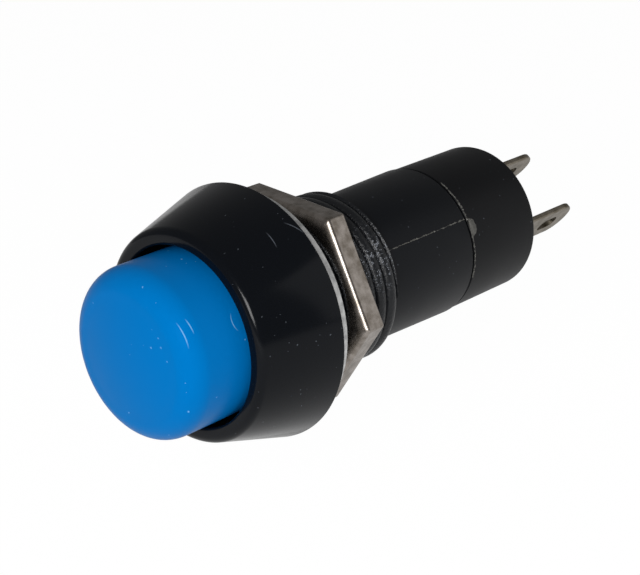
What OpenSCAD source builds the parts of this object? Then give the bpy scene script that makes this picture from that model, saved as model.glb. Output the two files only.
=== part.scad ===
// Miniature round panel-mount pushbutton switch for a 12 mm hole, normally open, momentary.
//
// Every piece is drawn upright along the switch axis: z = 0 is the plane where the bezel
// bears on the panel, +z runs towards the button and -z towards the solder lugs.
// on_axis() then lays the axis along Y, with the button facing -Y and the lugs facing +Y.

/* [Bezel] */
// Height of the bezel in front of the panel
bezel_h = 5.76; // [5.4:0.02:8]
// Width of the bezel's front face round the button well
bezel_lip = 1.12; // [0.9:0.01:1.3]
// Rounding of the bezel's front outer edge
bezel_edge_r = 0.3; // [0.1:0.05:0.5]
// Rounding of the mouth of the button well
well_edge_r = 0.2; // [0.05:0.05:0.3]
// Width of the rim that bears on the panel
rim_w = 0.6; // [0.4:0.05:0.9]
// Depth of the relief inside that rim
relief_h = 0.2; // [0.05:0.05:0.4]

/* [Button cap] */
// Diameter of the cap
button_d = 11.4; // [10.4:0.1:11.8]
// Height of the cap's shoulder above the bezel's front face
button_rise = 4.51; // [3.6:0.01:6]
// Rounding between the cap's side and its top
button_edge_r = 1.7; // [1:0.1:2.4]
// Height of the crown above the shoulder
button_crown = 0.36; // [0.1:0.02:0.7]
// Thickness of the cap's top
button_top_t = 2.4; // [2.2:0.1:2.8]
// Thickness of the cap's skirt
button_wall = 1.2; // [1:0.1:1.4]
// Gap round the cap in its well
button_gap = 0.38; // [0.25:0.01:0.5]
// Depth of the skirt inside the well when the button is up
skirt_depth = 1.4; // [1:0.1:1.8]
// Room left under the skirt when the button is down
skirt_room = 0.4; // [0.2:0.05:0.6]
// Travel of the button
button_travel = 2.8; // [2.4:0.1:3]

/* [Threaded bushing] */
// Outer diameter of the thread
thread_d = 12.0; // [11.6:0.1:14]
// Pitch of the thread
thread_pitch = 1.0; // [0.75:0.25:1.25]
// Height of the thread's ridges
thread_depth = 0.45; // [0.3:0.05:0.5]
// Width of the flat on each ridge's crest
thread_crest_w = 0.42; // [0.1:0.02:0.5]
// Axial length of the thread behind the bezel
thread_len = 8.4; // [8.2:0.1:14]
// Chamfer at the rear end of the thread
thread_chamfer = 0.42; // [0.3:0.02:0.5]
// Gap round the return spring in its well
spring_well_gap = 0.3; // [0.2:0.05:0.6]
// Depth of that well behind the panel plane
spring_well_depth = 5.5; // [4.8:0.1:6.4]
// Thickness of the shelf that guides the plunger
shelf_t = 1.7; // [1.2:0.1:2.4]

/* [Barrel] */
// Step from the thread's crest in to the barrel
barrel_step = 0.72; // [0.6:0.02:0.84]
// Draft that the barrel's radius gains towards the seam
barrel_draft = 0.19; // [0:0.01:0.35]
// Thickness of the barrel's wall at the thread end
barrel_wall = 1.1; // [0.9:0.05:1.15]
// Length from the thread end to the seam
barrel_len = 8.47; // [8.4:0.01:12]

/* [Rear base] */
// Step from the barrel's seam in to the base
base_step = 0.07; // [0:0.01:0.2]
// Length of the base behind the seam
base_len = 7.34; // [6:0.02:10]
// Rounding of the base's rear edge
base_edge_r = 0.25; // [0.1:0.05:0.6]
// Break on the front edge of the base, at the seam
seam_break = 0.1; // [0.04:0.02:0.2]
// Gap round the base's spigot in the barrel
spigot_gap = 0.04; // [0.02:0.01:0.08]
// Diameter of the well that the plunger's pin dips into
pin_well_d = 3.6; // [3.4:0.1:3.8]
// Room left under the pin when the button is down
pin_room = 0.7; // [0.4:0.1:1.2]

/* [Plunger] */
// Diameter of the stem
stem_d = 3.8; // [3.4:0.1:4]
// Running gap round the stem in the shelf
stem_gap = 0.06; // [0.03:0.01:0.12]
// Width of each guide rib
rib_w = 1.0; // [0.8:0.1:1.2]
// Height of each guide rib above the stem
rib_h = 0.6; // [0.4:0.05:0.7]
// Length of the guide ribs
rib_len = 9.5; // [7:0.5:10.5]
// Diameter of the stop flange
stop_d = 6.2; // [5.8:0.1:7]
// Thickness of the stop flange
stop_t = 1.0; // [0.8:0.1:1.2]
// Diameter of the tip that the cap is pressed on
tip_d = 2.6; // [2.2:0.1:3]
// Length of that tip
tip_len = 2.8; // [2.4:0.1:3]
// Depth of the cap's socket past the end of the tip
socket_room = 0.1; // [0.05:0.05:0.2]
// Diameter of the boss round the cap's socket
boss_d = 5.0; // [4.6:0.1:5.3]
// Height of the boss's end above the well's floor
boss_clear = 3.7; // [3.2:0.1:3.9]
// Diameter of the rear pin that carries the bridge
pin_d = 1.8; // [1.6:0.1:2]
// Length of the pin behind the bridge's retaining ring
pin_end = 0.5; // [0.3:0.05:0.9]
// Gap of a pressed joint
press_gap = 0.01; // [0.005:0.005:0.02]

/* [Return spring] */
// Mean diameter of the coil
return_coil_d = 6.2; // [6:0.05:6.5]
// Wire diameter
return_wire_d = 0.45; // [0.35:0.05:0.55]
// Number of turns
return_turns = 10; // [8:1:12]

/* [Contact spring] */
// Length when the button is up
contact_spring_len = 2.4; // [2.3:0.1:2.9]
// Mean diameter of the coil
contact_coil_d = 3.0; // [2.8:0.1:3.6]
// Wire diameter
contact_wire_d = 0.26; // [0.2:0.02:0.28]
// Number of turns
contact_turns = 4; // [4:1:5]

/* [Contact bridge] */
// Width of the strip
bridge_w = 2.6; // [2.4:0.1:3.1]
// Thickness of the strip
bridge_t = 0.4; // [0.3:0.05:0.5]
// Length of strip past each contact's centre
bridge_end = 0.9; // [0.8:0.05:0.95]
// Gap between the strip's ends and the wall of the chamber
bridge_end_gap = 0.35; // [0.25:0.05:0.5]
// Running gap round the pin
bridge_gap = 0.06; // [0.03:0.01:0.12]
// Diameter of the retaining ring
retainer_d = 3.1; // [2.9:0.1:3.3]
// Thickness of the retaining ring
retainer_t = 0.35; // [0.25:0.05:0.5]

/* [Contacts] */
// Diameter of a contact's head
contact_d = 1.3; // [1.1:0.1:1.4]
// Height of a contact's head
contact_h = 0.4; // [0.3:0.05:0.5]
// Diameter of a contact's shank
shank_d = 0.7; // [0.6:0.05:0.9]
// Gap between the open contacts
contact_gap = 1.7; // [1.5:0.1:1.9]

/* [Solder lugs] */
// Width of a lug
lug_w = 3.1; // [2.4:0.02:3.5]
// Thickness of a lug
lug_t = 0.45; // [0.35:0.05:0.6]
// Distance from a contact's centre in to the middle of its lug
lug_inset = 0.41; // [0.36:0.01:0.48]
// Length of a lug outside the base
lug_len = 8.6; // [6:0.1:11]
// Distance from the end of a lug's foot to the edge of the spigot
foot_inset = 0.5; // [0.36:0.02:0.6]
// Outer radius of the bend between a lug and its foot
bend_r = 0.65; // [0.6:0.01:0.7]
// Width of the eye
eye_w = 1.2; // [0.9:0.02:1.7]
// End-to-end length of the eye
eye_len = 2.1; // [1.8:0.02:2.9]
// Distance from a lug's tip to the middle of its eye
eye_back = 2.6; // [2.3:0.02:3]
// Gap round a lug in its slot
slot_gap = 0.02; // [0.01:0.01:0.05]
// Turn of the lugs and the bridge about the switch axis
lug_angle = -37.6; // [-90:0.1:90]

/* [Panel washer] */
// Width of the washer's ring
washer_w = 1.95; // [1.7:0.01:2.6]
// Thickness of the washer
washer_t = 1.2; // [1:0.05:1.5]
// Gap between the washer and the rim round it
washer_rim_gap = 0.05; // [0.02:0.01:0.1]
// Gap between the washer and the thread
washer_bore_gap = 0.1; // [0.05:0.01:0.25]
// Chamfer on the washer's outer edges
washer_edge = 0.1; // [0.04:0.02:0.2]

/* [Hexagonal nut] */
// Distance from the thread's crest out to each flat
nut_wall = 0.67; // [0.65:0.01:1.8]
// Thickness of the nut
nut_t = 1.75; // [1.5:0.05:2.4]
// Radius of the roll along the nut's front edges
nut_roll_r = 0.45; // [0.2:0.05:0.45]
// How far the nut's six corners are cut back
nut_corner_break = 0.12; // [0.02:0.01:0.2]
// Running gap between the nut and the thread
nut_gap = 0.06; // [0.03:0.01:0.1]
// Chamfer at each mouth of the nut's bore
nut_mouth = 0.1; // [0.04:0.02:0.12]
// Distance from the washer to the nut
nut_stand_off = 2.15; // [0.2:0.01:3.6]
// Turn of the nut about the switch axis
nut_angle = -2; // [-30:1:30]

/* [Hidden] */
$fn = 96;
ARC_STEPS = 10;
COIL_STEPS = 16;
WIRE_SIDES = 8;
COIL_CLOSE = 1.04;
THROUGH = 0.5;
HALF_SIDE = 30;

// Places along the axis, from the button to the lugs
shoulder_z = bezel_h + button_rise;
crown_z = shoulder_z + button_crown;
skirt_z = bezel_h - skirt_depth;
well_z = skirt_z - button_travel - skirt_room;
ceiling_z = crown_z - button_top_t;
boss_z = well_z + boss_clear;
shelf_z = -spring_well_depth;
stop_z = shelf_z - shelf_t;
seam_z = -thread_len - barrel_len;
base_z = seam_z - base_len;
lug_tip_z = base_z - lug_len;
stop_rear_z = stop_z - stop_t;
bridge_z = stop_rear_z - contact_spring_len;
bridge_rear_z = bridge_z - bridge_t;
retainer_rear_z = bridge_rear_z - retainer_t;
pin_z = retainer_rear_z - pin_end;
fixed_face_z = bridge_rear_z - contact_h - contact_gap;
foot_z = fixed_face_z - contact_h;
spigot_z = foot_z - lug_t;
pin_well_z = pin_z - button_travel - pin_room;
washer_rear_z = relief_h - washer_t;
nut_z = washer_rear_z - nut_stand_off;

// Sizes across the axis
thread_r = thread_d / 2;
thread_root_r = thread_r - thread_depth;
thread_flank = thread_depth * tan(30);
thread_ridges = floor((thread_len - thread_chamfer - thread_crest_w) / thread_pitch);
washer_bore_r = thread_r + washer_bore_gap;
washer_r = washer_bore_r + washer_w;
relief_r = washer_r + washer_rim_gap;
bezel_r = relief_r + rim_w;
well_r = button_d / 2 + button_gap;
bezel_front_r = well_r + bezel_lip;
spring_well_r = return_coil_d / 2 + return_wire_d / 2 + spring_well_gap;
barrel_r = thread_r - barrel_step;
barrel_seam_r = barrel_r + barrel_draft;
base_r = barrel_seam_r - base_step;
chamber_r = barrel_r - barrel_wall;
spigot_r = chamber_r - spigot_gap;
stem_r = stem_d / 2;
rib_r = stem_r + rib_h;
boss_r = boss_d / 2;
pin_r = pin_d / 2;
bridge_reach = chamber_r - bridge_end_gap;
contact_x = bridge_reach - bridge_end;
lug_x = contact_x - lug_inset;
foot_reach = spigot_r - foot_inset;
nut_bore_r = thread_r + nut_gap;
nut_flat_r = thread_r + nut_wall;
nut_corner_r = nut_flat_r / cos(HALF_SIDE);

BLACK = [0.055, 0.06, 0.07];
BLUE = [0.0, 0.45, 0.78];
NATURAL = [0.88, 0.87, 0.82];
NICKEL = [0.72, 0.69, 0.64];
ZINC = [0.80, 0.80, 0.79];
BRASS = [0.80, 0.66, 0.36];
SILVER = [0.86, 0.86, 0.85];
STEEL = [0.62, 0.63, 0.65];

// Lays a piece drawn along z on the switch axis
module on_axis() {
    rotate([90, 0, 0]) children();
}

// Turns the contact pieces to the lugs' direction, then lays them on the axis
module on_lugs() {
    on_axis() rotate(lug_angle) children();
}

// Points of an arc about [x, z] in a half section, from angle a0 to a1
function arc(x, z, r, a0, a1) = [
    for (i = [0 : ARC_STEPS])
        let (a = a0 + (a1 - a0) * i / ARC_STEPS)
        [x + r * cos(a), z + r * sin(a)]
];

// A plate with straight sides and round ends, drawn about the origin along y
module long_round(w, len) {
    square([w, len - w], center = true);
    for (side = [-1, 1])
        translate([0, side * (len - w) / 2]) circle(d = w);
}

// Height of a coil spring's wire after t turns: closed end turns, open turns between them
function coil_z(t, turns, wire, len) =
    let (
        close = wire * COIL_CLOSE,
        open = (len - wire - 2 * close) / (turns - 2)
    )
    t < 1 ? t * close
    : t > turns - 1 ? len - wire - (turns - t) * close
    : close + (t - 1) * open;

// One ring of points round the wire after t turns
function wire_ring(t, turns, coil, wire, len) = [
    for (k = [0 : WIRE_SIDES - 1])
        let (
            b = 360 * k / WIRE_SIDES,
            r = coil / 2 + wire / 2 * cos(b),
            z = wire / 2 + coil_z(t, turns, wire, len) + wire / 2 * sin(b)
        )
        [r * cos(360 * t), r * sin(360 * t), z]
];

// A coil spring of round wire, standing on z = 0
module coil_spring(turns, coil, wire, len) {
    rings = turns * COIL_STEPS;
    points = [
        for (i = [0 : rings])
            each wire_ring(i / COIL_STEPS, turns, coil, wire, len)
    ];
    side_faces = [
        for (i = [0 : rings - 1], k = [0 : WIRE_SIDES - 1])
            let (
                a = i * WIRE_SIDES + k,
                b = i * WIRE_SIDES + (k + 1) % WIRE_SIDES
            )
            [a, b, b + WIRE_SIDES, a + WIRE_SIDES]
    ];
    first_end = [for (k = [WIRE_SIDES - 1 : -1 : 0]) k];
    last_end = [for (k = [0 : WIRE_SIDES - 1]) rings * WIRE_SIDES + k];
    polyhedron(points, concat(side_faces, [first_end, last_end]));
}

// Half section of the thread, drawn as rings: a groove in front of each ridge's crest
function thread_points() = [
    for (i = [0 : thread_ridges - 1])
        let (
            crest_z = thread_chamfer - thread_len + i * thread_pitch,
            groove_z = crest_z + thread_crest_w
        )
        each [
            [thread_r, crest_z],
            [thread_r, groove_z],
            [thread_root_r, groove_z + thread_flank],
            [thread_root_r, crest_z + thread_pitch - thread_flank]
        ],
    [thread_r, thread_chamfer - thread_len + thread_ridges * thread_pitch]
];

// Outside of the housing: relieved seat, conical bezel, rounded front edge, bushing, barrel
module housing_outside() {
    rotate_extrude() polygon(concat(
        [[0, seam_z], [barrel_seam_r, seam_z], [barrel_r, -thread_len]],
        [[thread_r - thread_chamfer, -thread_len]],
        thread_points(),
        [[thread_r, relief_h], [relief_r, relief_h], [relief_r, 0], [bezel_r, 0]],
        arc(bezel_front_r - bezel_edge_r, bezel_h - bezel_edge_r, bezel_edge_r, 10, 90),
        [[0, bezel_h]]
    ));
}

// Room inside the housing: button well, spring well, contact chamber
module housing_inside() {
    rotate_extrude() polygon(concat(
        [[0, bezel_h + THROUGH], [well_r + well_edge_r, bezel_h + THROUGH]],
        arc(well_r + well_edge_r, bezel_h - well_edge_r, well_edge_r, 90, 180),
        [[well_r, well_z], [spring_well_r, well_z], [spring_well_r, shelf_z], [0, shelf_z]]
    ));
    translate([0, 0, seam_z - THROUGH])
        cylinder(r = chamber_r, h = stop_z - seam_z + THROUGH);
}

// Round hole with two rib slots through the shelf
module shelf_guide() {
    translate([0, 0, stop_z - THROUGH]) {
        cylinder(r = stem_r + stem_gap, h = shelf_t + 2 * THROUGH);
        translate([-rib_r - stem_gap, -rib_w / 2 - stem_gap, 0])
            cube([2 * (rib_r + stem_gap), rib_w + 2 * stem_gap, shelf_t + 2 * THROUGH]);
    }
}

// Bezel, threaded bushing and barrel in one moulding
module housing() {
    color(BLACK) on_axis() difference() {
        housing_outside();
        housing_inside();
        rotate(lug_angle) shelf_guide();
    }
}

// Slot for one lug, with room at its mouth for the inside of the lug's bend
module lug_slot() {
    mouth = bend_r - lug_t + slot_gap;
    blade_x = lug_x - lug_t / 2;
    translate([blade_x - slot_gap, -lug_w / 2 - slot_gap, base_z - THROUGH])
        cube([lug_t + 2 * slot_gap, lug_w + 2 * slot_gap, spigot_z - base_z + 2 * THROUGH]);
    translate([blade_x, -lug_w / 2 - slot_gap, spigot_z - mouth])
        cube([lug_t + mouth, lug_w + 2 * slot_gap, mouth + THROUGH]);
}

// Terminal base: a spigot in the barrel, and a plug that carries on the barrel's line
module rear_base() {
    color(BLACK) on_lugs() difference() {
        rotate_extrude() polygon(concat(
            [[0, base_z]],
            arc(base_r - base_edge_r, base_z + base_edge_r, base_edge_r, -90, 0),
            [[base_r, seam_z - seam_break], [base_r - seam_break, seam_z]],
            [[spigot_r, seam_z], [spigot_r, spigot_z], [0, spigot_z]]
        ));
        translate([0, 0, pin_well_z])
            cylinder(d = pin_well_d, h = spigot_z - pin_well_z + THROUGH);
        for (turn = [0, 180]) rotate(turn) lug_slot();
    }
}

// Push cap: crowned top, skirt, and a boss with a socket for the plunger's tip
module button_cap() {
    crown_r = ((button_d / 2 - button_edge_r) ^ 2 + button_crown ^ 2) / (2 * button_crown);
    crown_deg = asin((button_d / 2 - button_edge_r) / crown_r);
    color(BLUE) on_axis() {
        difference() {
            rotate_extrude() polygon(concat(
                [[0, skirt_z], [button_d / 2, skirt_z]],
                arc(button_d / 2 - button_edge_r, shoulder_z - button_edge_r,
                    button_edge_r, 0, 90 - crown_deg),
                arc(0, crown_z - crown_r, crown_r, 90 - crown_deg, 90)
            ));
            translate([0, 0, skirt_z - THROUGH])
                cylinder(r = button_d / 2 - button_wall, h = ceiling_z - skirt_z + THROUGH);
        }
        difference() {
            translate([0, 0, boss_z]) cylinder(r = boss_r, h = ceiling_z - boss_z + THROUGH);
            translate([0, 0, boss_z - THROUGH])
                cylinder(d = tip_d + 2 * press_gap, h = tip_len + socket_room + THROUGH);
        }
    }
}

// Plunger: tip, ribbed stem, stop flange and rear pin
module plunger() {
    color(NATURAL) on_lugs() {
        translate([0, 0, boss_z]) cylinder(d = tip_d, h = tip_len);
        translate([0, 0, stop_z]) cylinder(r = stem_r, h = boss_z - stop_z);
        translate([-rib_r, -rib_w / 2, stop_z]) cube([2 * rib_r, rib_w, rib_len]);
        translate([0, 0, stop_rear_z]) cylinder(d = stop_d, h = stop_t);
        translate([0, 0, pin_z]) cylinder(r = pin_r, h = stop_rear_z - pin_z);
    }
}

// Return spring between the shelf and the underside of the cap
module return_spring() {
    color(STEEL) on_axis() translate([0, 0, shelf_z])
        coil_spring(return_turns, return_coil_d, return_wire_d, ceiling_z - shelf_z);
}

// Contact spring between the stop flange and the bridge
module contact_spring() {
    color(STEEL) on_axis() translate([0, 0, bridge_z])
        coil_spring(contact_turns, contact_coil_d, contact_wire_d, contact_spring_len);
}

// Sprung strip that slides on the pin
module contact_bridge() {
    color(BRASS) on_lugs() translate([0, 0, bridge_rear_z]) linear_extrude(bridge_t) difference() {
        intersection() {
            square([2 * bridge_reach, bridge_w], center = true);
            circle(r = bridge_reach);
        }
        circle(r = pin_r + bridge_gap);
        for (side = [-1, 1])
            translate([side * contact_x, 0]) circle(d = shank_d + 2 * press_gap);
    }
}

// Contact rivet on the bridge, its head towards the lugs
module bridge_contact(side) {
    color(SILVER) on_lugs() translate([side * contact_x, 0, bridge_rear_z]) {
        translate([0, 0, -contact_h]) cylinder(d = contact_d, h = contact_h);
        cylinder(d = shank_d, h = bridge_t);
    }
}

// Push-on ring behind the bridge
module bridge_retainer() {
    color(STEEL) on_axis() translate([0, 0, retainer_rear_z]) difference() {
        cylinder(d = retainer_d, h = retainer_t);
        translate([0, 0, -THROUGH]) cylinder(r = pin_r + press_gap, h = retainer_t + 2 * THROUGH);
    }
}

// Side view of a lug and its foot, with the bend between them
module lug_side() {
    blade_x = lug_x - lug_t / 2;
    translate([blade_x, lug_tip_z]) square([lug_t, foot_z - bend_r - lug_tip_z]);
    translate([blade_x + bend_r, foot_z - lug_t]) square([foot_reach - blade_x - bend_r, lug_t]);
    translate([blade_x + bend_r, foot_z - bend_r]) intersection() {
        difference() {
            circle(r = bend_r);
            circle(r = bend_r - lug_t);
        }
        translate([-bend_r, 0]) square(bend_r);
    }
}

// Front view of a lug: full-round tip and oblong eye
module lug_face() {
    difference() {
        union() {
            translate([-lug_w / 2, lug_tip_z + lug_w / 2])
                square([lug_w, foot_z - lug_tip_z - lug_w / 2]);
            translate([0, lug_tip_z + lug_w / 2]) circle(d = lug_w);
        }
        translate([0, lug_tip_z + eye_back]) long_round(eye_w, eye_len);
    }
}

// Solder lug with its foot bent outwards over the base's spigot
module terminal(side) {
    flip = side < 0 ? 180 : 0;
    color(NICKEL) on_lugs() rotate(flip) difference() {
        intersection() {
            rotate([90, 0, 0]) translate([0, 0, -lug_w / 2]) linear_extrude(lug_w) lug_side();
            rotate([90, 0, 90]) linear_extrude(foot_reach) lug_face();
        }
        translate([contact_x, 0, foot_z - lug_t - THROUGH])
            cylinder(d = shank_d + 2 * press_gap, h = lug_t + 2 * THROUGH);
    }
}

// Contact rivet in a lug's foot, its head towards the bridge
module fixed_contact(side) {
    color(SILVER) on_lugs() translate([side * contact_x, 0, foot_z]) {
        cylinder(d = contact_d, h = contact_h);
        translate([0, 0, -lug_t]) cylinder(d = shank_d, h = lug_t);
    }
}

// Flat washer that nests in the bezel's relief
module panel_washer() {
    color(ZINC) on_axis() translate([0, 0, washer_rear_z]) rotate_extrude() polygon([
        [washer_bore_r, 0],
        [washer_r - washer_edge, 0],
        [washer_r, washer_edge],
        [washer_r, washer_t - washer_edge],
        [washer_r - washer_edge, washer_t],
        [washer_bore_r, washer_t]
    ]);
}

// What the rolled front edge takes off one side of the nut
module nut_roll() {
    translate([nut_flat_r - nut_roll_r, 0, -nut_roll_r]) rotate([90, 0, 0])
        difference() {
            translate([0, 0, -nut_corner_r])
                cube([nut_roll_r + THROUGH, nut_roll_r + THROUGH, 2 * nut_corner_r]);
            translate([0, 0, -nut_corner_r - THROUGH])
                cylinder(r = nut_roll_r, h = 2 * (nut_corner_r + THROUGH));
        }
}

// Bore of the nut with a chamfered mouth at each face
module nut_bore() {
    mouth_r = nut_bore_r + nut_mouth;
    rotate_extrude() polygon([
        [0, THROUGH],
        [mouth_r, THROUGH],
        [mouth_r, 0],
        [nut_bore_r, -nut_mouth],
        [nut_bore_r, -nut_t + nut_mouth],
        [mouth_r, -nut_t],
        [mouth_r, -nut_t - THROUGH],
        [0, -nut_t - THROUGH]
    ]);
}

// Hexagonal nut on the bushing, its front edges rolled over by the punch
module hex_nut() {
    color(NICKEL) on_axis() translate([0, 0, nut_z]) rotate(nut_angle) difference() {
        intersection() {
            translate([0, 0, -nut_t]) cylinder(r = nut_corner_r, h = nut_t, $fn = 6);
            translate([0, 0, -nut_t - THROUGH])
                cylinder(r = nut_corner_r - nut_corner_break, h = nut_t + 2 * THROUGH);
        }
        for (side = [0 : 5]) rotate(HALF_SIDE + 2 * HALF_SIDE * side) nut_roll();
        nut_bore();
    }
}

housing();
rear_base();
button_cap();
plunger();
return_spring();
contact_spring();
contact_bridge();
bridge_contact(-1);  // bridge_contact_left
bridge_contact(1);  // bridge_contact_right
bridge_retainer();
terminal(-1);  // terminal_left
terminal(1);  // terminal_right
fixed_contact(-1);  // fixed_contact_left
fixed_contact(1);  // fixed_contact_right
panel_washer();
hex_nut();
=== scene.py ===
import math
import random

import bpy
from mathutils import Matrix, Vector


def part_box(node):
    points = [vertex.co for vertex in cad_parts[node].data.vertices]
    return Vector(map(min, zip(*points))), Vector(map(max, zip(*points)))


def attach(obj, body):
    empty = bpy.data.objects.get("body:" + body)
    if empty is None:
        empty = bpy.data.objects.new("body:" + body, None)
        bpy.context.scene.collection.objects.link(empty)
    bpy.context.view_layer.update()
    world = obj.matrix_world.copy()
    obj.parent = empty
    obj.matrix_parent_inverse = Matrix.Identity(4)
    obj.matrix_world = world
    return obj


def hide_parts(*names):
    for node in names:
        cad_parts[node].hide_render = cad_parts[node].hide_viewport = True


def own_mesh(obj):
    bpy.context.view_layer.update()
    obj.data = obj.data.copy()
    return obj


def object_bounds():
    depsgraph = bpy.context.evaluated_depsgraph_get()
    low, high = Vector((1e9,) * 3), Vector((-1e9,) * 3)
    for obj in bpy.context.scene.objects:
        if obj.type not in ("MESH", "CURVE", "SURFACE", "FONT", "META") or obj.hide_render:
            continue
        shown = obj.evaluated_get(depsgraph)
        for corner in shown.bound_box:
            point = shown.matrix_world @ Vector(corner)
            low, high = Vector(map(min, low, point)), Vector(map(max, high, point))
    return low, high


# Miniature round panel-mount pushbutton switch, momentary, with its washer and nut.
# The switch axis is Y: the button faces -Y, the panel plane is y = 0, and the solder lugs
# point to +Y. Lengths are written in millimetres and turned to metres where they are used.

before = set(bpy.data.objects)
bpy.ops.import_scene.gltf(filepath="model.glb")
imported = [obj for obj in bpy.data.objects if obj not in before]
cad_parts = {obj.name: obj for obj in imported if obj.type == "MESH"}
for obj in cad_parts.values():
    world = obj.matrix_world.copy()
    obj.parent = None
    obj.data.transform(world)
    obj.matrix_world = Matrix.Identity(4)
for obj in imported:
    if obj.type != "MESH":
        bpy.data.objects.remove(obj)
cad_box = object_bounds()

# ---------------------------------------------------------------------------------------
# Camera
# The object is seen from the front right and a little above, with a long lens that
# flattens it, so that the crown of the button is near and the lugs recede to the right.

MM = 0.001
LENS = 95.06
SENSOR_W = 36.0
CAMERA_NEAR = 5.0
CAMERA_PLACE = (72.683, -70.601, 44.5)
CAMERA_LOOK = (-0.62959, 0.67218, -0.38961)

camera_data = bpy.data.cameras.new("camera")
camera_data.lens = LENS
camera_data.sensor_width = SENSOR_W
camera_data.clip_start = CAMERA_NEAR * MM
camera = bpy.data.objects.new("camera", camera_data)
camera.location = [c * MM for c in CAMERA_PLACE]
camera.rotation_euler = Vector(CAMERA_LOOK).to_track_quat("-Z", "Y").to_euler()
bpy.context.scene.collection.objects.link(camera)
bpy.context.scene.camera = camera
bpy.context.scene.view_settings.view_transform = "Standard"

# ---------------------------------------------------------------------------------------
# Floor, backdrop and light
# A white table under the switch, and two wide soft boxes to its right, one in front and one
# behind. The camera sees table and room as white, and metal and gloss show a dimmer table.

TABLE_DROP = 15.6
TABLE_SIZE = 1080.0
TABLE_PAPER = "#F4F4F4"
TABLE_WHITE = 0.92
TABLE_SHINE = 0.44
TABLE_GLOW = 1.05
ROOM_GREY = 0.2
BACKDROP_WHITE = 1.0
LIT_POINT = (0, 7, 0)


def linear(code):
    """The linear RGBA colour of an sRGB hex code such as #1A2B3C."""
    parts = [int(code[i:i + 2], 16) / 255 for i in (1, 3, 5)]
    return [p / 12.92 if p <= 0.04045 else ((p + 0.055) / 1.055) ** 2.4 for p in parts] + [1.0]


def add_node(tree, kind, inputs=None, **settings):
    """Adds a node with its settings. Its inputs go by name or number, and each is a value or
    the output socket of another node."""
    node = tree.nodes.new(kind)
    for name, value in settings.items():
        setattr(node, name, value)
    for name, value in (inputs or {}).items():
        if isinstance(value, bpy.types.NodeSocket):
            tree.links.new(value, node.inputs[name])
        else:
            node.inputs[name].default_value = value
    return node


table_z = cad_box[0][2] - TABLE_DROP * MM
bpy.ops.object.select_all(action="DESELECT")
bpy.ops.mesh.primitive_plane_add(size=TABLE_SIZE * MM, location=(0, 0, table_z))
bpy.ops.object.transform_apply(location=True, rotation=True, scale=True)
table = bpy.context.object
table.name = "table"
# Matt white paper that takes the object's shadow, and is white to the camera and in mirrors
table_finish = bpy.data.materials.new("white_table_paper")
table_finish.use_nodes = True
tree = table_finish.node_tree
tree.nodes.clear()
rays = add_node(tree, "ShaderNodeLightPath")
paper = add_node(tree, "ShaderNodeBsdfDiffuse", {"Color": linear(TABLE_PAPER)})
glow = add_node(tree, "ShaderNodeEmission", {"Color": (1, 1, 1, 1), "Strength": TABLE_GLOW})
mirrored = add_node(tree, "ShaderNodeMath", {
    0: rays.outputs["Is Glossy Ray"], 1: rays.outputs["Is Transmission Ray"]}, operation="MAXIMUM")
shine = add_node(tree, "ShaderNodeMath", {0: mirrored.outputs[0], 1: TABLE_SHINE},
                 operation="MULTIPLY")
white = add_node(tree, "ShaderNodeMath", {
    0: rays.outputs["Is Camera Ray"], 1: TABLE_WHITE, 2: shine.outputs[0]},
    operation="MULTIPLY_ADD", use_clamp=True)
mix = add_node(tree, "ShaderNodeMixShader", {
    0: white.outputs[0], 1: paper.outputs[0], 2: glow.outputs[0]})
add_node(tree, "ShaderNodeOutputMaterial", {"Surface": mix.outputs[0]})
table.data.materials.append(table_finish)

world = bpy.data.worlds.new("studio")
bpy.context.scene.world = world
world.use_nodes = True
tree = world.node_tree
tree.nodes.clear()
rays = add_node(tree, "ShaderNodeLightPath")
room = add_node(tree, "ShaderNodeBackground", {"Color": (1, 1, 1, 1), "Strength": ROOM_GREY})
backdrop = add_node(tree, "ShaderNodeBackground", {
    "Color": (1, 1, 1, 1), "Strength": BACKDROP_WHITE})
mix = add_node(tree, "ShaderNodeMixShader", {
    0: rays.outputs["Is Camera Ray"], 1: room.outputs[0], 2: backdrop.outputs[0]})
add_node(tree, "ShaderNodeOutputWorld", {"Surface": mix.outputs[0]})


def soft_box(name, place, size, watts):
    """A square area light at a place, in millimetres, that faces the middle of the switch."""
    data = bpy.data.lights.new(name, "AREA")
    data.size = size * MM
    data.energy = watts
    lamp = bpy.data.objects.new(name, data)
    lamp.location = Vector(place) * MM
    lamp.rotation_euler = (Vector(LIT_POINT) - Vector(place)).to_track_quat("-Z", "Y").to_euler()
    bpy.context.scene.collection.objects.link(lamp)


soft_box("front_light", place=(156, -230, 106), size=114, watts=0.62)
soft_box("back_light", place=(194, 200, 106), size=240, watts=0.1)

# ---------------------------------------------------------------------------------------
# Housing
# Bezel, threaded bushing and barrel are one injection moulding in black ABS. The tool was
# polished over the bezel and plain over the barrel. It carries every other piece.

SPIN_STEPS = 192
MERGE_GAP = 0.0005
SMOOTH_DEG = 30

BEZEL_FRONT_R = 7.2
BEZEL_EDGE_R = 0.6
BEZEL_FOOT_R = 0.1
WELL_R = 6.08
WELL_EDGE_R = 0.2
WELL_FLOOR_Y = -1.16
RIM_W = 0.6
RELIEF_H = 0.2
THREAD_ROOT_R = 5.55
THREAD_CREST_R = 6.0
THREAD_END_Y = 8.4
BARREL_R = 5.28
BARREL_SEAM_R = 5.47
SEAM_EDGE_R = 0.08
CHAMBER_R = 4.18
SPRING_WELL_R = 3.625
SHELF_Y = 5.5
STOP_Y = 7.2
GUIDE_R = 1.96


def begin(name, add, **where):
    """Adds a primitive with nothing else selected, names it and opens it in edit mode."""
    bpy.ops.object.select_all(action="DESELECT")
    add(**where)
    piece = bpy.context.object
    piece.name = name
    bpy.ops.object.mode_set(mode="EDIT")
    bpy.ops.mesh.select_mode(type="VERT")
    return piece


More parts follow.
